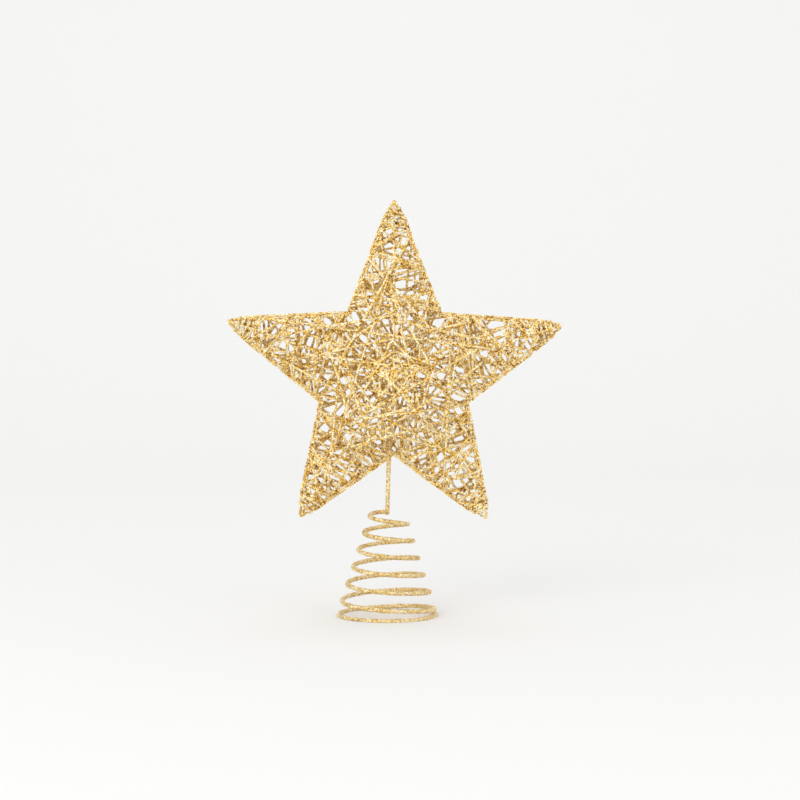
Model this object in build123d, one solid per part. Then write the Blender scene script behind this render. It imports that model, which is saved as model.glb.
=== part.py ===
from build123d import *
import math
import os

# Christmas tree topper: a five pointed wire star on a conical wire spring.
# Millimetres. The origin is on the spring's axis at the floor, +X is to the right,
# +Y is away from the viewer and +Z is up. The star faces -Y.

# Wires, over their glitter
spring_wire = 2.4
frame_wire = 1.6
winding_wire = 1.2

# Clearances
seat_clearance = 0.3
weld_clearance = 0.05
layer_clearance = 0.55
least_self_gap = 0.4

# Star frame; its lowest tip hangs a little below the foot of the stem
lowest_tip_drop = 2.91
star_side_offset = 4.1
arm_vertex_reach = 106.5
valley_radius = 45.2
tip_bend_radius = 1.6
valley_bend_radius = 2.6
hub_depth = 21.0
hub_weld_diameter = 7.6
arm_names = ["top", "right", "lower_right", "lower_left", "left"]
arm_angles = [90.0, 16.8, -56.9, -123.8, -198.4]
arm_reach_shares = [1.0, 1.0, 0.97, 0.965, 1.0]

# Arm windings: out to the tip in one layer and back in a second one
arm_loops = 11
arm_winding_start = 6.5
arm_winding_tip_margin = 11.8

# Centre windings, from ridge to ridge around each hub
centre_loops = 11
centre_inner_radius = 6.6
centre_outer_radius = 40.5
centre_bend_radius = 2.4

# Spring, from the free end of its foot loop up to the stem
foot_flat_depth = 0.5
foot_radius = 29.0
crown_radius = 10.6
foot_end_angle = 20.0
spring_turns = 6 + (180.0 + foot_end_angle) / 360.0
coil_pitch = 10.25
rise_start_turn = 0.64
rise_blend_turns = 0.16
taper_start_turn = 0.65
taper_blend_turns = 0.7
foot_cut_turn = 3.0
middle_cut_turn = 5.0
points_per_turn = 4

# Stem, from the top of the spring, with a knee just above the star's bottom valley
stem_foot_rise = 1.29
stem_bend_radius = 3.0
stem_side_lean = 1.2
stem_knee_rise = 1.9
stem_knee_radius = 30.0
stem_weld_diameter = 6.0

# Sampling of a tube's own gap
gap_step = 0.5
gap_skip_diameters = 7.0


def unit(vector):
    return vector * (1.0 / vector.length)


def tube(path, diameter):
    # A round wire along a path.
    section = Plane(origin=path @ 0, z_dir=path % 0) * Circle(diameter / 2)
    return sweep(section, path=path)


def biarc(start, start_way, end, end_way):
    # Two tangent arcs from one point and direction to another.
    across = end - start
    ways = start_way + end_way
    spread = 2.0 * (1.0 - start_way.dot(end_way))
    reach = across.dot(ways)
    root = math.sqrt(reach * reach + spread * across.dot(across))
    arm = (root - reach) / spread
    first = start + start_way * arm
    second = end - end_way * arm
    middle = (first + second) * 0.5
    return [
        Edge.make_tangent_arc(start, start_way, middle),
        Edge.make_tangent_arc(middle, unit(second - first), end),
    ]


def least_gap(name, path, diameter):
    # The least clear distance between parts of one tube that aren't next to each other along it.
    points = []
    for edge in path.edges():
        count = max(1, round(edge.length / gap_step))
        points += [edge @ (index / count) for index in range(count)]
    skip = int(gap_skip_diameters * diameter * len(points) / path.length)
    cells = {}
    size = 2.0 * diameter
    for index, point in enumerate(points):
        key = (int(point.X // size), int(point.Y // size), int(point.Z // size))
        cells.setdefault(key, []).append(index)
    sides = [-1, 0, 1]
    least = size
    for (i, j, k), members in cells.items():
        near = []
        for a in sides:
            for b in sides:
                for c in sides:
                    near += cells.get((i + a, j + b, k + c), [])
        for one in members:
            for other in near:
                if other - one > skip:
                    least = min(least, (points[one] - points[other]).length)
    gap = least - diameter
    print(f"{name}: {path.length:.0f} mm of wire, least gap to itself {gap:.2f} mm")
    if gap <= least_self_gap:
        print(f"{name}: TOO CLOSE to itself")


def check_volume(name, solid, path, diameter):
    wanted = math.pi * (diameter / 2) ** 2 * path.length
    print(f"{name}: volume is {solid.volume / wanted:.4f} of section times length")


def ramp(turn, start, blend):
    # Zero up to the start, then a blend into one per turn.
    past = turn - start
    if past <= 0:
        return 0.0
    if past < blend:
        return past * past / (2 * blend)
    return past - blend / 2


def direction(angle):
    return Vector(math.cos(math.radians(angle)), 0, math.sin(math.radians(angle)))


# Heights: the spring carries the stem, and the stem carries the star
foot_height = spring_wire / 2 - foot_flat_depth
spring_height = foot_height + coil_pitch * ramp(spring_turns, rise_start_turn, rise_blend_turns)
stem_foot_height = spring_height + stem_foot_rise
arm_count = len(arm_names)
arm_ways = [direction(angle) for angle in arm_angles]
lowest_tip = min(arm_vertex_reach * share * way.Z for way, share in zip(arm_ways, arm_reach_shares))
star_centre_height = stem_foot_height - lowest_tip_drop - lowest_tip

# Star frame: the outline lies in one plane, just in front of the stem
outline_plane = -(frame_wire + spring_wire) / 2 - weld_clearance
centre = Vector(star_side_offset, outline_plane, star_centre_height)
toward_front = Vector(0, -1, 0)


def valley_angle(arm):
    # The valley between an arm and the next one clockwise.
    after = arm_angles[(arm + 1) % arm_count]
    if after > arm_angles[arm]:
        after -= 360.0
    return (arm_angles[arm] + after) / 2


vertices = [centre + way * (arm_vertex_reach * share) for way, share in zip(arm_ways, arm_reach_shares)]
valleys = [centre + direction(valley_angle(arm)) * valley_radius for arm in range(arm_count)]

outline_points = []
outline_radii = []
for arm in range(arm_count):
    outline_points += [vertices[arm], valleys[arm]]
    outline_radii += [tip_bend_radius, valley_bend_radius]
outline_path = FilletPolyline(*outline_points, radius=outline_radii, close=True)
outline = tube(outline_path, frame_wire)


def bend_reach(arm):
    # From the star's centre to the outermost point of the outline's bend at a tip.
    before = unit(valleys[arm - 1] - vertices[arm])
    after = unit(valleys[arm] - vertices[arm])
    half = math.acos(before.dot(after)) / 2
    return arm_vertex_reach * arm_reach_shares[arm] - tip_bend_radius * (1 / math.sin(half) - 1)


tip_rise = frame_wire + weld_clearance
bend_reaches = [bend_reach(arm) for arm in range(arm_count)]


def ridge_point(arm, along, side):
    # A point on a ridge's centreline, at a distance along the arm; side is +1 in front, -1 behind.
    share = along / bend_reaches[arm]
    rise = hub_depth + (tip_rise - hub_depth) * share
    return centre + arm_ways[arm] * along + toward_front * (side * rise)


def edge_point(arm, along, side):
    # A point on one edge of an arm; side is +1 for its clockwise edge, -1 for the other.
    valley = valleys[arm] if side > 0 else valleys[arm - 1]
    start = (valley - centre).dot(arm_ways[arm])
    reach = arm_vertex_reach * arm_reach_shares[arm]
    return valley + (vertices[arm] - valley) * ((along - start) / (reach - start))


hubs = {}
ridges = {}
for side_name, side in [("front", 1), ("back", -1)]:
    hub_point = centre + toward_front * (side * hub_depth)
    hubs[side_name] = Pos(hub_point) * Sphere(hub_weld_diameter / 2)
    for arm in range(arm_count):
        line = Line(hub_point, ridge_point(arm, bend_reaches[arm], side))
        ridges[side_name, arm_names[arm]] = tube(line, frame_wire) - hubs[side_name]


def winding_corner(before, at, after, offset):
    # Where straight runs that pass a frame wire at an offset would meet, outside that wire.
    way_in = unit(at - before)
    way_out = unit(after - at)
    half_turn = math.acos(max(-1.0, min(1.0, way_in.dot(way_out)))) / 2
    return at + unit(way_in - way_out) * (offset / math.cos(half_turn))


def arm_winding_path(arm):
    # One wire around an arm's two edges and two ridges, out in one layer and back in the next.
    inner = (frame_wire + winding_wire) / 2 + seat_clearance
    outer = inner + winding_wire + layer_clearance
    base = max((valleys[arm] - centre).dot(arm_ways[arm]), (valleys[arm - 1] - centre).dot(arm_ways[arm]))
    first = base + arm_winding_start
    last = bend_reaches[arm] - arm_winding_tip_margin
    quarters = 4 * arm_loops
    stations = []
    for quarter in range(quarters + 1):
        stations.append((first + (last - first) * quarter / quarters, inner))
    for quarter in range(quarters + 1):
        stations.append((last - (last - first) * quarter / quarters, outer))
    frame = []
    for index, (along, offset) in enumerate(stations):
        corner = index % 4
        if corner == 0:
            frame.append(ridge_point(arm, along, -1))
        elif corner == 1:
            frame.append(edge_point(arm, along, 1))
        elif corner == 2:
            frame.append(ridge_point(arm, along, 1))
        else:
            frame.append(edge_point(arm, along, -1))
    corners = []
    radii = []
    for index in range(1, len(frame) - 1):
        offset = stations[index][1]
        corners.append(winding_corner(frame[index - 1], frame[index], frame[index + 1], offset))
        radii.append(offset)
    start = (corners[0] + corners[1]) * 0.5
    end = (corners[-1] + corners[-2]) * 0.5
    return FilletPolyline(start, *corners[1:-1], end, radius=radii[1:-1])


def centre_winding_path(side):
    # One wire that spirals out around a hub, over the five ridges in turn.
    lift = (frame_wire + winding_wire) / 2 + seat_clearance
    steps = centre_loops * arm_count
    corners = []
    for step in range(steps + 1):
        along = centre_inner_radius + (centre_outer_radius - centre_inner_radius) * step / steps
        corners.append(ridge_point(step % arm_count, along, side) + toward_front * (side * lift))
    start = (corners[0] + corners[1]) * 0.5
    end = (corners[-1] + corners[-2]) * 0.5
    return FilletPolyline(start, *corners[1:-1], end, radius=centre_bend_radius)


windings = {}
for arm in range(arm_count):
    winding_path = arm_winding_path(arm)
    name = f"{arm_names[arm]}_arm_winding"
    windings[name] = tube(winding_path, winding_wire)
    least_gap(name, winding_path, winding_wire)
    check_volume(name, windings[name], winding_path, winding_wire)
for side_name, side in [("front", 1), ("back", -1)]:
    winding_path = centre_winding_path(side)
    name = f"{side_name}_centre_winding"
    windings[name] = tube(winding_path, winding_wire)
    least_gap(name, winding_path, winding_wire)
    check_volume(name, windings[name], winding_path, winding_wire)


taper_turns = ramp(spring_turns, taper_start_turn, taper_blend_turns)
turn_taper = (foot_radius - crown_radius) / taper_turns


def spring_point(turn):
    # The wire's centre on a left-handed cone, at a count of turns from its free end.
    radius = foot_radius - turn_taper * ramp(turn, taper_start_turn, taper_blend_turns)
    height = foot_height + coil_pitch * ramp(turn, rise_start_turn, rise_blend_turns)
    angle = math.radians(foot_end_angle - 360.0 * turn)
    return Vector(radius * math.cos(angle), radius * math.sin(angle), height)


def spring_way(turn):
    step = 1e-4
    return unit(spring_point(turn + step) - spring_point(turn - step))


def spring_edges(first, last):
    # Quarter turns of biarcs, with straight ends of one wire diameter.
    start = spring_point(first)
    start_way = spring_way(first)
    edges = []
    if first > 0:
        edges.append(Edge.make_line(start, start + start_way * spring_wire))
        start = start + start_way * spring_wire
    count = round((last - first) * points_per_turn)
    for index in range(1, count + 1):
        turn = first + (last - first) * index / count
        end = spring_point(turn)
        end_way = spring_way(turn)
        stop = end - end_way * spring_wire if index == count and last < spring_turns else end
        edges += biarc(start, start_way, stop, end_way)
        if index == count and last < spring_turns:
            edges.append(Edge.make_line(stop, end))
        start = stop
        start_way = end_way
    return edges


foot_edges = spring_edges(0, foot_cut_turn)
middle_edges = spring_edges(foot_cut_turn, middle_cut_turn)
top_edges = spring_edges(middle_cut_turn, spring_turns)

# The crown's last half turn comes in behind the axis to meet the stem
stem_start = Vector(0, stem_bend_radius + spring_wire / 2, stem_foot_height)
crown_end = stem_start + Vector(0, spring_wire, 0)
top_edges += biarc(spring_point(spring_turns), spring_way(spring_turns), crown_end, toward_front)
top_edges.append(Edge.make_line(crown_end, stem_start))

foot_path = Wire(foot_edges)
middle_path = Wire(middle_edges)
top_path = Wire(top_edges)
foot_full = tube(foot_path, spring_wire)
check_volume("spring_foot_coils", foot_full, foot_path, spring_wire)
foot_coils = split(foot_full, bisect_by=Plane.XY, keep=Keep.TOP)
middle_coils = tube(middle_path, spring_wire)
top_coils = tube(top_path, spring_wire)
check_volume("spring_middle_coils", middle_coils, middle_path, spring_wire)
check_volume("spring_top_coils", top_coils, top_path, spring_wire)
least_gap("spring_wire", Wire(foot_edges + middle_edges + top_edges), spring_wire)

# The stem stands on the crown, passes behind the bottom valley and ends at the back hub
back_hub_point = centre - toward_front * hub_depth
stem_corner = Vector(0, 0, stem_foot_height)
stem_knee = Vector(stem_side_lean, 0, star_centre_height - valley_radius + stem_knee_rise)
stem_path = FilletPolyline(
    stem_start, stem_corner, stem_knee, back_hub_point, radius=[stem_bend_radius, stem_knee_radius]
)
stem = tube(stem_path, spring_wire) - hubs["back"]

# The stem's weld is a bead around its crossing with the outline
bottom_arm = arm_names.index("lower_right")
other_arm = (bottom_arm + 1) % arm_count
leg_run = vertices[other_arm] - valleys[bottom_arm]
leg_share = (stem_side_lean - valleys[bottom_arm].X) / leg_run.X
crossing = valleys[bottom_arm] + leg_run * leg_share
weld_point = Vector(crossing.X, outline_plane / 2, crossing.Z)
stem_weld = Pos(weld_point) * Sphere(stem_weld_diameter / 2) - stem - outline

nodes = {
    "star_outline_wire": outline,
    "front_hub_weld": hubs["front"],
    "back_hub_weld": hubs["back"],
    "stem": stem,
    "stem_weld": stem_weld,
    "spring_foot_coils": foot_coils,
    "spring_middle_coils": middle_coils,
    "spring_top_coils": top_coils,
}
for (side_name, arm_name), ridge in ridges.items():
    nodes[f"{side_name}_ridge_wire_{arm_name}"] = ridge
nodes.update(windings)

os.makedirs("parts", exist_ok=True)
for name, solid in nodes.items():
    export_step(solid, f"parts/{name}.step")
print(f"{len(nodes)} nodes")
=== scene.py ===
import math

import bpy
import numpy as np
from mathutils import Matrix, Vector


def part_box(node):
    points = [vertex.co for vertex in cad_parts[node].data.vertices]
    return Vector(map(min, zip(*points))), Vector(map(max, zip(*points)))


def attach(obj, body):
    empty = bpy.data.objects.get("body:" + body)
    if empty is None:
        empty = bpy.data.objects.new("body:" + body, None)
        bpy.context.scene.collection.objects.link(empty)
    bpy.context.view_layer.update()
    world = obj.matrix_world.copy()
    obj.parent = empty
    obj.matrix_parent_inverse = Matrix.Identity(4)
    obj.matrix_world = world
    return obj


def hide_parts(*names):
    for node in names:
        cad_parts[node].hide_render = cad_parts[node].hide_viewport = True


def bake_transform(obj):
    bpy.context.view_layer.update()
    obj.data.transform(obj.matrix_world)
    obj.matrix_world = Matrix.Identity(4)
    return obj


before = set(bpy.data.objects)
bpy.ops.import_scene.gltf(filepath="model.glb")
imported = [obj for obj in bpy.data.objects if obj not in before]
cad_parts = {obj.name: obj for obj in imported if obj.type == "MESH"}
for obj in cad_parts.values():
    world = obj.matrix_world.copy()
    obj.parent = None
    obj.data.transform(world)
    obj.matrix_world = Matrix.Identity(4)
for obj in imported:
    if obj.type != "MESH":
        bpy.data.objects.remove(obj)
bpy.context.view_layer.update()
print("frame loaded")

mm = 0.001
rng = np.random.default_rng(24)  # one seed, so that each run winds the same star


# Colour and nodes
def linear(hexColour):
    channels = [int(hexColour[i:i + 2], 16) / 255 for i in (1, 3, 5)]
    return [c / 12.92 if c <= 0.04045 else ((c + 0.055) / 1.055) ** 2.4 for c in channels] + [1.0]


def addNode(tree, kind, values=None, **properties):
    node = tree.nodes.new(kind)
    for key, value in properties.items():
        setattr(node, key, value)
    for key, value in (values or {}).items():
        if isinstance(value, bpy.types.NodeSocket):
            tree.links.new(value, node.inputs[key])
        else:
            node.inputs[key].default_value = value
    return node


def glitterMaterial(settings):
    # Flat flakes at every tilt: each has a tone and a gloss of its own and turns the shading.
    # Their tones come from the given stops, whose pale end is painted highlight
    # and whose deep end is painted shade.
    material = bpy.data.materials.new(settings["name"])
    material.use_nodes = True
    tree = material.node_tree
    tree.nodes.clear()
    halfway = 0.5  # textures run from 0 to 1 and are centred before they are scaled
    place = addNode(tree, "ShaderNodeTexCoord").outputs["Object"]
    flakes = addNode(tree, "ShaderNodeTexVoronoi", {
        "Vector": place, "Scale": 1 / (settings["flakeSize"] * mm)}).outputs["Color"]
    grains = addNode(tree, "ShaderNodeTexVoronoi", {
        "Vector": place, "Scale": 1 / (settings["grainSize"] * mm)}).outputs["Color"]
    patches = addNode(tree, "ShaderNodeTexNoise", {
        "Vector": place, "Scale": 1 / (settings["patchSize"] * mm), "Detail": 2.0}).outputs["Fac"]

    split = addNode(tree, "ShaderNodeSeparateColor", {"Color": flakes})
    flakeToneAndGlint, flakeGloss = split.outputs[0], split.outputs[1]
    # A random tone by flake and by stretch picks a stop: pale ones are painted highlights, deep ones
    # painted shade.
    tone = addNode(tree, "ShaderNodeMath", {0: patches, 1: -halfway}, operation="ADD")
    tone = addNode(tree, "ShaderNodeMath", {
        0: tone.outputs[0], 1: settings["patchiness"], 2: flakeToneAndGlint}, operation="MULTIPLY_ADD")
    ramp = addNode(tree, "ShaderNodeValToRGB", {"Fac": tone.outputs[0]})
    stops = ramp.color_ramp.elements
    while len(stops) < len(settings["colours"]):
        stops.new(halfway)
    for stop, (at, hexColour) in zip(stops, settings["colours"]):
        stop.position = at
        stop.color = linear(hexColour)

    facing = addNode(tree, "ShaderNodeNewGeometry").outputs["Normal"]
    for tilts, size in ((flakes, settings["flakeTilt"]), (grains, settings["grainTilt"])):
        tilt = addNode(tree, "ShaderNodeVectorMath", {
            0: tilts, 1: [halfway] * 3}, operation="SUBTRACT")
        facing = addNode(tree, "ShaderNodeVectorMath", {
            0: tilt.outputs[0], 1: [size] * 3, 2: facing}, operation="MULTIPLY_ADD").outputs[0]
    facing = addNode(tree, "ShaderNodeVectorMath", {0: facing}, operation="NORMALIZE").outputs[0]
    low, high = settings["roughness"]
    rough = addNode(tree, "ShaderNodeMath", {
        0: flakeGloss, 1: high - low, 2: low}, operation="MULTIPLY_ADD")
    shader = addNode(tree, "ShaderNodeBsdfPrincipled", {
        "Base Color": ramp.outputs["Color"],
        "Metallic": settings["metallic"],
        "Roughness": rough.outputs[0],
        "Normal": facing,
    })
    addNode(tree, "ShaderNodeOutputMaterial", {"Surface": shader.outputs[0]})
    return material


# Plastic glitter with a gold film, glued on steel wire. Each flake is a small flat mirror, so the
# eye gets pale and deep gold specks side by side, and whole stretches that are lighter or darker.
# Besides turning its shading, each flake and stretch takes a random tone from these stops: the
# near-white end is painted highlight and the deep brown end painted shade, the gold between real.
# Such flakes are usually about 0.2 mm. They are drawn at 0.6 to 0.7 mm, as finer ones don't show.
# The film is metal and the glue between the flakes isn't, so metallic stays between the two.
goldAndGlintStops = [
    (0.0, "#985c04"), (0.18, "#e4ac34"), (0.44, "#ffd976"), (0.7, "#fff1b8"), (1.0, "#fffff4"),
]
windingGold = glitterMaterial({
    "name": "gold glitter on winding wire", "colours": goldAndGlintStops,
    "flakeSize": 0.7, "grainSize": 0.3, "flakeTilt": 1.0, "grainTilt": 0.5,
    "patchSize": 4.0, "patchiness": 1.4, "roughness": (0.22, 0.5), "metallic": 0.6,
})
frameGold = glitterMaterial({
    "name": "gold glitter on frame wire", "colours": goldAndGlintStops,
    "flakeSize": 0.7, "grainSize": 0.3, "flakeTilt": 1.0, "grainTilt": 0.5,
    "patchSize": 5.0, "patchiness": 1.2, "roughness": (0.22, 0.5), "metallic": 0.6,
})
# The spring's coat is thinner and more even: the eye gets a paler and calmer gold.
# Here too the near-white top stops are painted highlight and the deepest stop painted shade.
paleGoldAndGlintStops = [
    (0.0, "#a07834"), (0.2, "#d8b260"), (0.55, "#f2d38c"), (0.85, "#fdeec4"), (1.0, "#fffdf2"),
]
springGold = glitterMaterial({
    "name": "coarse gold glitter on spring wire", "colours": paleGoldAndGlintStops,
    "flakeSize": 0.6, "grainSize": 0.28, "flakeTilt": 0.8, "grainTilt": 0.4,
    "patchSize": 10.0, "patchiness": 0.6, "roughness": (0.25, 0.5), "metallic": 0.6,
})
print("materials made")

# Strands of wire, all in millimetres until they become a mesh
bending = {
    "sharpest": 1.45,       # half a bend's turn, in radians
    "shareBefore": 0.9,     # how much of the runs before and after it a bend may use
    "shareAfter": 0.48,
    "leastSteps": 3,
    "stepsPerRadian": 4,
    "closest": 0.05,
}
coating = {
    "lumpEvery": 2,         # points from one lump, or one swelling, to the next
    "swellEvery": 9,
    "roughest": (0.75, 1.2),
    "flakeLean": 0.45,
    "flakeSizes": (0.6, 1.15),
    "flakeShift": 0.3,
    "flakeOutline": ((-1, -0.6), (0, -1), (1, -0.6), (1, 0.6), (0, 1), (-1, 0.6)),
}


def unit(vector):
    return vector / np.linalg.norm(vector)


def wander(count, every, size):
    # A smooth random walk along a strand, with a new value every so many points.
    knots = max(2, count // every + 2)
    places = np.linspace(0, knots - 1, count)
    return np.interp(places, np.arange(knots), rng.normal(0, size, knots))


def roundedPath(corners, radii, step):
    # Straight runs that bend round each corner.
    points = [np.asarray(corners[0])]
    for index in range(1, len(corners)):
        start = points[-1]
        corner = np.asarray(corners[index])
        last = index == len(corners) - 1
        run = corner - start
        reach = np.linalg.norm(run)
        way = run / reach
        if last:
            stop = corner
        else:
            after = np.asarray(corners[index + 1]) - corner
            wayAfter = unit(after)
            half = math.acos(np.clip(way @ wayAfter, -1, 1)) / 2
            setback = min(
                radii[index] * math.tan(min(half, bending["sharpest"])),
                bending["shareAfter"] * np.linalg.norm(after),
                bending["shareBefore"] * reach)
            stop = corner - way * setback
        count = max(1, int(np.linalg.norm(stop - start) / step))
        points += [start + (stop - start) * k / count for k in range(1, count + 1)]
        if not last:
            leave = corner + wayAfter * setback
            steps = max(bending["leastSteps"], int(half * bending["stepsPerRadian"]))
            for k in range(1, steps + 1):
                t = k / steps
                points.append((1 - t) ** 2 * stop + 2 * t * (1 - t) * corner + t * t * leave)
    points = np.array(points)
    gaps = np.linalg.norm(np.diff(points, axis=0), axis=1)
    return points[np.concatenate([[True], gaps > bending["closest"]])]


def strandAxes(points):
    # The way along a strand and two sides square to it, carried along without twist.
    ways = np.gradient(points, axis=0)
    ways /= np.linalg.norm(ways, axis=1)[:, None]
    side = unit(np.cross(ways[0], [0.31, 0.82, 0.47]))  # any way that no strand starts in
    sides = []
    for way in ways:
        side = side - way * (side @ way)
        side = side / np.linalg.norm(side)
        sides.append(side)
    sides = np.array(sides)
    return ways, sides, np.cross(ways, sides)


def strand(points, radius, settings):
    # A lumpy tube with flakes standing on it: (vertices, faces).
    count, n = len(points), settings["sides"]
    ways, sides, ups = strandAxes(points)
    lumps = wander(count, coating["lumpEvery"], settings["lump"])
    swells = wander(count, coating["swellEvery"], settings["swell"])
    thickness = radius * (1 + lumps + swells)
    turns = np.linspace(0, 2 * math.pi, n, endpoint=False)[None, :, None]
    around = np.cos(turns) * sides[:, None, :] + np.sin(turns) * ups[:, None, :]
    rough = np.clip(1 + rng.normal(0, settings["rough"], (count, n, 1)), *coating["roughest"])
    rings = points[:, None, :] + around * thickness[:, None, None] * rough
    vertices = list(rings.reshape(-1, 3))
    faces = []
    for i in range(count - 1):
        for j in range(n):
            k = (j + 1) % n
            faces.append((i * n + j, i * n + k, (i + 1) * n + k, (i + 1) * n + j))
    faces.append(tuple(range(n - 1, -1, -1)))
    faces.append(tuple((count - 1) * n + j for j in range(n)))

    length = np.linalg.norm(np.diff(points, axis=0), axis=1).sum()
    for _ in range(int(length * settings["flakesPerMm"])):
        i = rng.integers(1, count - 1)
        turn = rng.uniform(0, 2 * math.pi)
        out = math.cos(turn) * sides[i] + math.sin(turn) * ups[i]
        normal = unit(out + rng.normal(0, coating["flakeLean"], 3))
        across = unit(np.cross(normal, rng.normal(0, 1, 3)))
        along = np.cross(normal, across)
        size = settings["flake"] * rng.uniform(*coating["flakeSizes"]) / 2
        shift = rng.uniform(-coating["flakeShift"], coating["flakeShift"])
        middle = points[i] + out * thickness[i] + ways[i] * shift
        base = len(vertices)
        for a, b in coating["flakeOutline"]:
            vertices.append(middle + across * a * size + along * b * size)
        faces.append(tuple(range(base, len(vertices))))
    return vertices, faces


def makePiece(node, strands, material):
    # One mesh of wires in place of a node of the solids.
    vertices, faces = [], []
    for some, joined in strands:
        base = len(vertices)
        vertices += some
        faces += [tuple(base + i for i in face) for face in joined]
    mesh = bpy.data.meshes.new(f"glittered_{node}")
    mesh.from_pydata([tuple(float(c) * mm for c in v) for v in vertices], [], faces)
    mesh.update()
    piece = bpy.data.objects.new(f"glittered_{node}", mesh)
    bpy.context.scene.collection.objects.link(piece)
    mesh.materials.append(material)
    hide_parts(node)
    return piece


def starPiece(node, strands, material):
    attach(makePiece(node, strands, material), "star")


# The star's frame, as in the solids
star = {
    "centre": np.array([4.1, -2.05, 144.3]),
    "names": ["top", "right", "lower_right", "lower_left", "left"],
    "angles": [90.0, 16.8, -56.9, -123.8, -198.4],
    "reach": 106.5,
    "reachShares": [1.0, 1.0, 0.97, 0.965, 1.0],
    "valleyRadius": 45.2,
    "tipBend": 1.6,
    "valleyBend": 2.6,
    "hubDepth": 21.0,
    "tipRise": 1.65,
    "ridgeStart": 2.5,
}
frameWire = {
    "wire": 1.6, "step": 0.8,
    "lump": 0.05, "swell": 0.04, "rough": 0.05, "sides": 9, "flakesPerMm": 0.8, "flake": 0.55,
}
centre = star["centre"]
frontWay = np.array([0.0, -1.0, 0.0])
faceSides = (("front", 1), ("back", -1))
armCount = len(star["names"])


def direction(angle):
    return np.array([math.cos(math.radians(angle)), 0.0, math.sin(math.radians(angle))])


armWays = [direction(angle) for angle in star["angles"]]
reaches = [star["reach"] * share for share in star["reachShares"]]
tips = [centre + way * reach for way, reach in zip(armWays, reaches)]
valleys = []  # each on the far side of its arm, going round clockwise
for arm, angle in enumerate(star["angles"]):
    after = star["angles"][(arm + 1) % armCount]
    after -= 360.0 if after > angle else 0.0
    valleys.append(centre + direction((angle + after) / 2) * star["valleyRadius"])


def bendReach(arm):
    # How far out the outline's bend at a tip comes.
    before, after = unit(valleys[arm - 1] - tips[arm]), unit(valleys[arm] - tips[arm])
    half = math.acos(before @ after) / 2
    return reaches[arm] - star["tipBend"] * (1 / math.sin(half) - 1)


bendReaches = [bendReach(arm) for arm in range(armCount)]


def ridgePoint(arm, along, side):
    rise = star["hubDepth"] + (star["tipRise"] - star["hubDepth"]) * along / bendReaches[arm]
    return centre + armWays[arm] * along + frontWay * (side * rise)


def valleyBeside(arm, side):
    return valleys[arm] if side > 0 else valleys[arm - 1]


def edgePoint(arm, along, side):
    valley = valleyBeside(arm, side)
    start = (valley - centre) @ armWays[arm]
    share = (along - start) / (reaches[arm] - start)
    return valley + (tips[arm] - valley) * max(share, 0.0)


corners, radii = [], []
for arm in range(armCount):
    corners += [tips[arm], valleys[arm]]
    radii += [star["tipBend"], star["valleyBend"]]
seam = (corners[-1] + corners[0]) / 2
outlinePath = roundedPath([seam] + corners + [seam], [0] + radii + [0], frameWire["step"])
outlineStrand = strand(outlinePath, frameWire["wire"] / 2, frameWire)
starPiece("star_outline_wire", [outlineStrand], frameGold)
for sideName, side in faceSides:
    for arm, armName in enumerate(star["names"]):
        ends = [ridgePoint(arm, along, side) for along in (star["ridgeStart"], bendReaches[arm])]
        ridgePath = roundedPath(ends, [0, 0], frameWire["step"])
        ridge = strand(ridgePath, frameWire["wire"] / 2, frameWire)
        starPiece(f"{sideName}_ridge_wire_{armName}", [ridge], frameGold)
print("frame wires made")

# Weld beads, lumpy and coated like the wires
bead = {
    "rows": 18, "cols": 28, "size": 0.94, "rough": 0.02,
    "waves": ((3.1, 4.7), (2.7, -3.3)),
}


def weldBead(node, material, lump):
    low, high = (np.array(corner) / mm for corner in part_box(node))
    middle, radius = (low + high) / 2, (high - low).max() / 2
    rows, cols = bead["rows"], bead["cols"]
    (a0, a2), (b1, b0) = bead["waves"]
    vertices, faces = [], []
    for i in range(rows + 1):
        for j in range(cols):
            down, turn = math.pi * i / rows, 2 * math.pi * j / cols
            x = math.sin(down) * math.cos(turn)
            y = math.sin(down) * math.sin(turn)
            z = math.cos(down)
            wave = bead["size"] + lump * math.sin(a0 * x + a2 * z) * math.cos(b1 * y + b0 * x)
            bulge = wave + rng.normal(0, bead["rough"])
            vertices.append(middle + np.array([x, y, z]) * radius * bulge)
    for i in range(rows):
        for j in range(cols):
            k = (j + 1) % cols
            faces.append((i * cols + j, (i + 1) * cols + j, (i + 1) * cols + k, i * cols + k))
    starPiece(node, [(vertices, faces)], material)


weldBead("front_hub_weld", frameGold, lump=0.05)
weldBead("back_hub_weld", frameGold, lump=0.05)
weldBead("stem_weld", springGold, lump=0.06)

# Windings: taut runs from edge to edge, over whatever ridges they cross
winding = {
    "wire": 1.5,            # over its glitter
    "nearest": 1.35,        # from the frame's wires to the first layer, and on to the last
    "deepest": 0.45,
    "farOut": 2.0,          # the most that a sharp bend adds to that
    "straight": 0.05,       # less of a bend than this has no outer side of its own
    "step": 1.1,
    "wobble": 0.14, "wobbleEvery": 4,
    "lump": 0.08, "swell": 0.07, "rough": 0.07, "sides": 7, "flakesPerMm": 0.5, "flake": 0.5,
}
parallel = 1e-9
fromEnd, fromHub = 0.02, 0.5  # a ridge counts from this share of a run and this far from the hub


def planCross(a, b):
    return a[0] * b[1] - a[1] * b[0]


def plan(point):
    return point[[0, 2]]


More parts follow.
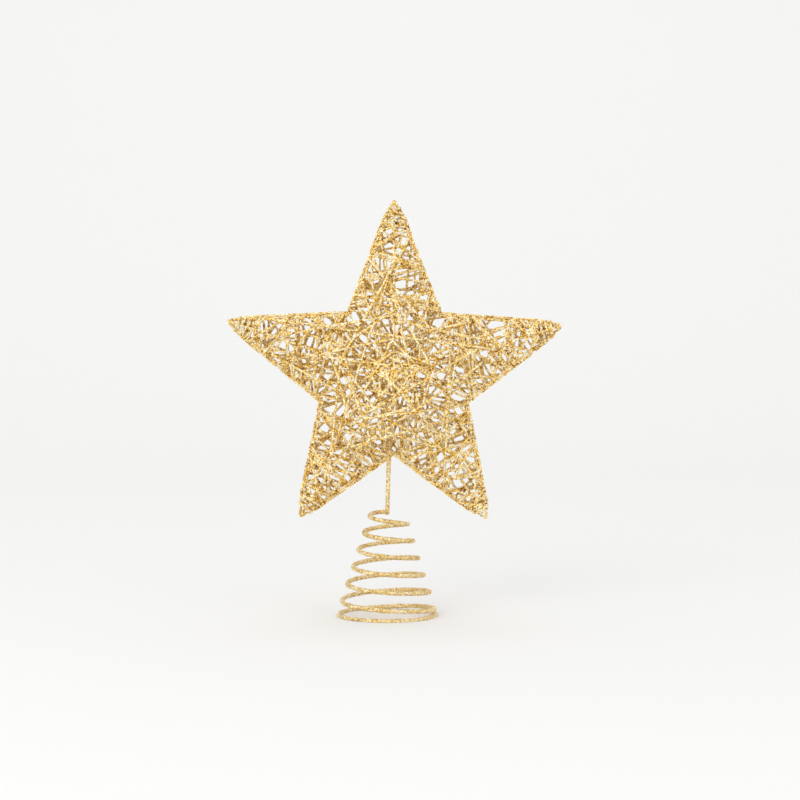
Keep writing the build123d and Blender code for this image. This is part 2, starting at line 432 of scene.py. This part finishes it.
def overRidges(start, end, side):
    # The ridge points that a taut run between two edge points bears on.
    found = [(0.0, 0.0, start)]
    run, origin = plan(end - start), plan(centre - start)
    for arm in range(armCount):
        way = plan(armWays[arm])
        cross = planCross(run, way)
        if abs(cross) < parallel:
            continue
        share, along = planCross(origin, way) / cross, planCross(origin, run) / cross
        if fromEnd < share < 1 - fromEnd and fromHub < along < bendReaches[arm]:
            point = ridgePoint(arm, along, side)
            found.append((share, abs(point[1] - centre[1]), point))
    found = sorted(found, key=lambda item: item[0]) + [(1.0, 0.0, end)]
    hull = []
    for item in found:
        while len(hull) > 1:
            (s0, h0, _), (s1, h1, _) = hull[-2:]
            if (h1 - h0) * (item[0] - s0) <= (item[1] - h0) * (s1 - s0):
                hull.pop()
            else:
                break
        hull.append(item)
    return [item[2] for item in hull[1:-1]]


def outside(before, at, after, offset):
    # A bend's point, moved off the wire that it goes round.
    wayIn, wayOut = unit(at - before), unit(after - at)
    half = math.acos(np.clip(wayIn @ wayOut, -1, 1)) / 2
    bulge = wayIn - wayOut
    if np.linalg.norm(bulge) < winding["straight"]:
        bulge = frontWay * np.sign(at[1] - centre[1])
    return at + unit(bulge) * min(offset / math.cos(half), winding["farOut"] * offset)


def wobbled(path):
    wobbles = [wander(len(path), winding["wobbleEvery"], winding["wobble"]) for _ in range(3)]
    return path + np.stack(wobbles, axis=1)


def windingStrand(path):
    return strand(path, winding["wire"] / 2, winding)


def woundPath(stops, layers):
    # A wire through edge points in turn, over the front and the back by turns.
    wire, offsets = [], []
    for index, stop in enumerate(stops):
        crossed = []
        if index + 1 < len(stops):
            crossed = overRidges(stop, stops[index + 1], 1 if index % 2 == 0 else -1)
        wire += [stop] + crossed
        offset = winding["nearest"] + winding["deepest"] * layers[index]
        offsets += [offset] * (1 + len(crossed))
    inner = range(1, len(wire) - 1)
    bent = [outside(wire[i - 1], wire[i], wire[i + 1], offsets[i]) for i in inner]
    return wobbled(roundedPath(bent, offsets[1:-1], winding["step"]))


armWinding = {
    # A pass is its half loops, its share of the way to the tip, and how far its stops stray.
    "passes": [
        (9, 1.0, 2.0), (7, 1.0, 2.2), (6, 1.0, 2.4), (5, 0.95, 2.4),
        (4, 1.0, 2.6), (4, 0.9, 2.6), (3, 1.0, 2.8),
    ],
    "layerShares": (0.5, 1.0),
    "tipMargin": 2.5, "tipSpread": 1.5, "valleySpread": 3.0,
    # Close turns at the tip
    "tipTurns": 7, "tipLength": 10.0, "tipJitter": 0.4, "tipLayer": 0.3,
    # A run along each edge, nearer to the outline at its two ends
    "edgeLift": 1.6, "edgeRamp": 9.0, "edgeWanderEvery": 6,
    "valleyShare": 0.65, "tipShare": 0.2, "tipGap": 6.0,
}


def armStops(arm):
    # Edge points on the right and the left by turns, out to the tip and back.
    style = armWinding
    near = max((valleyBeside(arm, side) - centre) @ armWays[arm] for side in (1, -1))
    far = bendReaches[arm] - style["tipMargin"]
    alongs, layers = [], []
    for turn, (halfLoops, share, jitter) in enumerate(style["passes"]):
        reach = near + (far - near) * share
        first, last = (near, reach) if turn % 2 == 0 else (reach, near)
        for k in range(halfLoops):
            along = first + (last - first) * (k + 0.5) / halfLoops + rng.normal(0, jitter)
            least = near + abs(rng.normal(0, style["valleySpread"]))
            most = far - abs(rng.normal(0, style["tipSpread"]))
            alongs.append(float(np.clip(along, least, most)))
            layers.append(turn / len(style["passes"]) * rng.uniform(*style["layerShares"]))
    for k in range(style["tipTurns"]):
        back = style["tipLength"] * (1 - (k + 0.5) / style["tipTurns"])
        alongs.append(far - back + rng.normal(0, style["tipJitter"]))
        layers.append(style["tipLayer"])
    stops = [edgePoint(arm, along, 1 if k % 2 == 0 else -1) for k, along in enumerate(alongs)]
    return stops, layers


def edgeRun(arm, side):
    # A length of the same wire along an edge, among the turns: it gives the arm its clean edge.
    style = armWinding
    valley = valleyBeside(arm, side)
    edge = unit(tips[arm] - valley)
    lateral = valley - centre
    lateral = lateral - armWays[arm] * (lateral @ armWays[arm])
    out = unit(lateral - edge * (lateral @ edge))
    length = np.linalg.norm(tips[arm] - valley)
    apart = unit(valley - centre)
    # Where it meets the run of the next arm, lapped by a quarter of the wire
    meeting = style["edgeLift"] * style["valleyShare"] * (apart @ edge) / (apart @ out)
    reach = np.arange(meeting - winding["wire"] / 4, length - style["tipGap"], winding["step"])
    fromValley = style["valleyShare"] + (reach - reach[0]) / style["edgeRamp"]
    fromTip = style["tipShare"] + (reach[-1] - reach) / style["edgeRamp"]
    lift = style["edgeLift"] * np.minimum(1, np.minimum(fromValley, fromTip))
    lift = lift + wander(len(reach), style["edgeWanderEvery"], winding["wobble"])
    return valley + reach[:, None] * edge + lift[:, None] * out


for arm, armName in enumerate(star["names"]):
    paths = [woundPath(*armStops(arm)), edgeRun(arm, 1), edgeRun(arm, -1)]
    wound = [windingStrand(path) for path in paths]
    starPiece(f"{armName}_arm_winding", wound, windingGold)
print("arm windings made")

centreWinding = {
    # Runs across the middle, and how far from the hub the outermost may pass
    "runs": 36, "offset": 38.0, "runBend": 3.0, "layerShares": (0.3, 1.6),
    "evenSteps": (0.7549, 0.5698), "unevenness": 0.03,
    # Runs along each arm
    "armRuns": 2, "armOffset": 10.0, "armSway": 8.0, "farthest": 94.0,
    # A loose web around the hub, from ridge to ridge
    "webLoops": 2, "webInner": 6.0, "webOuter": 36.0, "webLeast": 3.0,
    "webJitter": 5.0, "webLift": 1.75, "webBend": 2.2,
}
outlinePlan = np.array([plan(p) for pair in zip(tips, valleys) for p in pair])


def outlineHit(start, way):
    # Where a line from inside the star first meets its outline.
    hits = []
    for p, q in zip(outlinePlan, np.roll(outlinePlan, -1, axis=0)):
        edge, gap = q - p, p - start
        cross = planCross(way, edge)
        if abs(cross) > parallel:
            reach, share = planCross(gap, edge) / cross, planCross(gap, way) / cross
            if reach > 0 and 0 <= share <= 1:
                hits.append(reach)
    point = start + way * min(hits)
    return np.array([point[0], centre[1], point[1]])


def crossingRuns():
    # Some along each arm, the rest spread evenly over every angle and offset.
    style = centreWinding
    runs = []
    alongArms = [angle for angle in star["angles"] for _ in range(style["armRuns"])]
    shares = rng.uniform(0, 1, 2)
    while len(runs) < len(alongArms) + style["runs"]:
        if len(runs) < len(alongArms):
            turn = math.radians(alongArms[len(runs)] + rng.normal(0, style["armSway"]))
            offset = rng.uniform(-style["armOffset"], style["armOffset"])
        else:
            shares = (shares + style["evenSteps"]) % 1
            turn = math.pi * (shares[0] + rng.normal(0, style["unevenness"]))
            offset = style["offset"] * (2 * shares[1] - 1 + rng.normal(0, style["unevenness"]))
        way = np.array([math.cos(turn), math.sin(turn)])
        foot = plan(centre) + np.array([-way[1], way[0]]) * offset
        ends = outlineHit(foot, way), outlineHit(foot, -way)
        if max(np.linalg.norm(end - centre) for end in ends) < style["farthest"]:
            runs.append(ends)
    return runs


def hubWeb(side):
    style = centreWinding
    count = style["webLoops"] * armCount
    web = []
    for k in range(count):
        along = style["webInner"] + (style["webOuter"] - style["webInner"]) * k / count
        along = max(style["webLeast"], along + rng.normal(0, style["webJitter"]))
        web.append(ridgePoint(k % armCount, along, side) + frontWay * side * style["webLift"])
    return roundedPath(web, [style["webBend"]] * count, winding["step"])


def crossingPath(start, end, side):
    style = centreWinding
    lift = winding["nearest"] + winding["deepest"] * rng.uniform(*style["layerShares"])
    bent = [p + frontWay * side * lift for p in overRidges(start, end, side)]
    bent = [start + unit(start - end) * lift] + bent + [end + unit(end - start) * lift]
    return wobbled(roundedPath(bent, [style["runBend"]] * len(bent), winding["step"]))


for sideName, side in faceSides:
    strands = [windingStrand(hubWeb(side))]
    for start, end in crossingRuns():
        strands.append(windingStrand(crossingPath(start, end, side)))
    starPiece(f"{sideName}_centre_winding", strands, windingGold)
print("centre windings made")

# Spring and stem: one wire, in a length for each joint
spring = {
    "wire": 2.4, "coat": 0.12, "flat": 0.5,
    "footRadius": 29.0, "crownRadius": 10.6, "endAngle": 20.0, "wholeTurns": 6, "pitch": 10.25,
    "rise": (0.64, 0.16), "taper": (0.65, 0.7),   # the turn each starts at, and the turns it eases in
    "cuts": (3.0, 5.0), "pointsPerTurn": 190,
    "crownPoints": 42, "crownPulls": (0.68, 0.6), "crownSteps": 4, "turnStep": 0.001,
    # Heights that bound each length's span between the body below it and the one above
    "blends": ((2.5, 22.9), (25.8, 43.4), (46.3, 59.5)),
    "lump": 0.045, "swell": 0.03, "rough": 0.045, "sides": 14, "flakesPerMm": 1.2, "flake": 0.6,
}
stem = {"foot": 61.8, "bend": 3.0, "lean": 1.2, "knee": 101.0, "kneeBend": 30.0, "step": 0.9}
turnsInAll = spring["wholeTurns"] + (180.0 + spring["endAngle"]) / 360.0
coatedRadius = spring["wire"] / 2 + spring["coat"]


def easedRamp(turn, start, ease):
    past = turn - start
    if past <= 0:
        return 0.0
    return past * past / (2 * ease) if past < ease else past - ease / 2


turnTaper = (spring["footRadius"] - spring["crownRadius"]) / easedRamp(turnsInAll, *spring["taper"])


def springPoint(turn):
    radius = spring["footRadius"] - turnTaper * easedRamp(turn, *spring["taper"])
    rise = spring["pitch"] * easedRamp(turn, *spring["rise"])
    angle = math.radians(spring["endAngle"] - 360.0 * turn)
    height = spring["wire"] / 2 - spring["flat"] + rise
    return np.array([radius * math.cos(angle), radius * math.sin(angle), height])


def coil(first, last):
    count = int((last - first) * spring["pointsPerTurn"])
    return np.array([springPoint(turn) for turn in np.linspace(first, last, count)])


def crownPath(stemStart):
    # From the last coil in to the stem, in one smooth bend and a short straight.
    start = springPoint(turnsInAll)
    way = unit(start - springPoint(turnsInAll - spring["turnStep"]))
    end = stemStart + np.array([0.0, spring["wire"], 0.0])
    span = np.linalg.norm(end - start)
    pullOut, pullIn = spring["crownPulls"]
    a, b = start + way * span * pullOut, end + np.array([0.0, span * pullIn, 0.0])
    path = []
    for t in np.linspace(0, 1, spring["crownPoints"])[1:]:
        u = 1 - t
        path.append(u ** 3 * start + 3 * t * u ** 2 * a + 3 * t * t * u * b + t ** 3 * end)
    steps = spring["crownSteps"]
    return path + [end + (stemStart - end) * k / steps for k in range(1, steps + 1)]


stemStart = np.array([0.0, stem["bend"] + spring["wire"] / 2, stem["foot"]])
firstCut, secondCut = spring["cuts"]
topPath = np.vstack([coil(secondCut, turnsInAll), crownPath(stemStart)])
lengths = [
    ("spring_foot_coils", coil(0, firstCut), "spring_foot", "spring_middle"),
    ("spring_middle_coils", coil(firstCut, secondCut), "spring_middle", "spring_top"),
    ("spring_top_coils", topPath, "spring_top", "star"),
]
for (node, path, below, above), (start, end) in zip(lengths, spring["blends"]):
    vertices, faces = strand(path, coatedRadius, spring)
    vertices = [np.array([v[0], v[1], max(v[2], 0.0)]) for v in vertices]  # the foot stays flat
    piece = makePiece(node, [(vertices, faces)], springGold)
    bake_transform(piece)

stemCorners = [
    stemStart,
    np.array([0.0, 0.0, stem["foot"]]),
    np.array([stem["lean"], 0.0, stem["knee"]]),
    centre - frontWay * star["hubDepth"],
]
stemPath = roundedPath(stemCorners, [0, stem["bend"], stem["kneeBend"], 0], stem["step"])
stemStrand = strand(stemPath, coatedRadius, spring)
starPiece("stem", [stemStrand], springGold)
print("spring and stem made")

# Floor that sweeps up into the background: matt white paper, which gives the eye one pale surface
sweep = {
    "colour": "#efefee", "roughness": 0.9,
    "front": -3.0, "bendStart": 1.2, "bendRadius": 1.4, "bendSteps": 16, "top": 4.0, "halfWidth": 5.0,
}
paper = bpy.data.materials.new("white paper")
paper.use_nodes = True
paperShader = paper.node_tree.nodes["Principled BSDF"]
paperShader.inputs["Base Color"].default_value = linear(sweep["colour"])
paperShader.inputs["Roughness"].default_value = sweep["roughness"]
sweepProfile = [(sweep["front"], 0.0)]
for turn in np.linspace(0, math.pi / 2, sweep["bendSteps"]):
    sweepProfile.append((
        sweep["bendStart"] + sweep["bendRadius"] * math.sin(turn),
        sweep["bendRadius"] - sweep["bendRadius"] * math.cos(turn)))
sweepProfile.append((sweep["bendStart"] + sweep["bendRadius"], sweep["top"]))
floorMesh = bpy.data.meshes.new("floor sweep")
floorMesh.from_pydata(
    [(x, y, z) for y, z in sweepProfile for x in (-sweep["halfWidth"], sweep["halfWidth"])], [],
    [(2 * i, 2 * i + 1, 2 * i + 3, 2 * i + 2) for i in range(len(sweepProfile) - 1)])
floorMesh.polygons.foreach_set("use_smooth", [True] * len(floorMesh.polygons))
floorMesh.materials.append(paper)
floor = bpy.data.objects.new("floor sweep", floorMesh)
bpy.context.scene.collection.objects.link(floor)

# Soft light from all round, a large lamp from the left and a weaker one from the right
room = {"colour": "#ffffff", "strength": 0.95}
lamps = [
    {"name": "key softbox", "size": 1.4, "power": 10,
     "place": (-0.9, -1.6, 1.0), "target": (0, 0, 0.14)},
    {"name": "fill softbox", "size": 1.2, "power": 2,
     "place": (1.2, -1.3, 0.6), "target": (0, 0, 0.14)},
    {"name": "background softbox", "size": 1.6, "power": 4.5,
     "place": (0, 1.0, 2.4), "target": (0, 2.4, 0.5)},
]
world = bpy.data.worlds.new("soft white room")
bpy.context.scene.world = world
world.use_nodes = True
background = world.node_tree.nodes["Background"]
background.inputs["Color"].default_value = linear(room["colour"])
background.inputs["Strength"].default_value = room["strength"]


def aimFrom(thing, place, target):
    way = np.array(target) - np.array(place)
    thing.location = place
    tilt = math.atan2(math.hypot(way[0], way[1]), -way[2])
    thing.rotation_euler = (tilt, 0, math.atan2(way[1], way[0]) - math.pi / 2)


for lamp in lamps:
    data = bpy.data.lights.new(lamp["name"], "AREA")
    data.shape = "DISK"
    data.size = lamp["size"]
    data.energy = lamp["power"]
    light = bpy.data.objects.new(lamp["name"], data)
    bpy.context.scene.collection.objects.link(light)
    aimFrom(light, lamp["place"], lamp["target"])

view = {
    "lens": 90, "sensor": 36, "farthest": 30,
    "eye": (0.0077, -1.2, 0.172), "target": (0.0077, 0.0, 0.13),
}
camera = bpy.data.objects.new("camera", bpy.data.cameras.new("camera"))
bpy.context.scene.collection.objects.link(camera)
camera.data.lens = view["lens"]
camera.data.sensor_width = view["sensor"]
camera.data.clip_end = view["farthest"]
aimFrom(camera, view["eye"], view["target"])
bpy.context.scene.camera = camera
bpy.context.scene.view_settings.view_transform = "Standard"
print("stage, light and camera set")
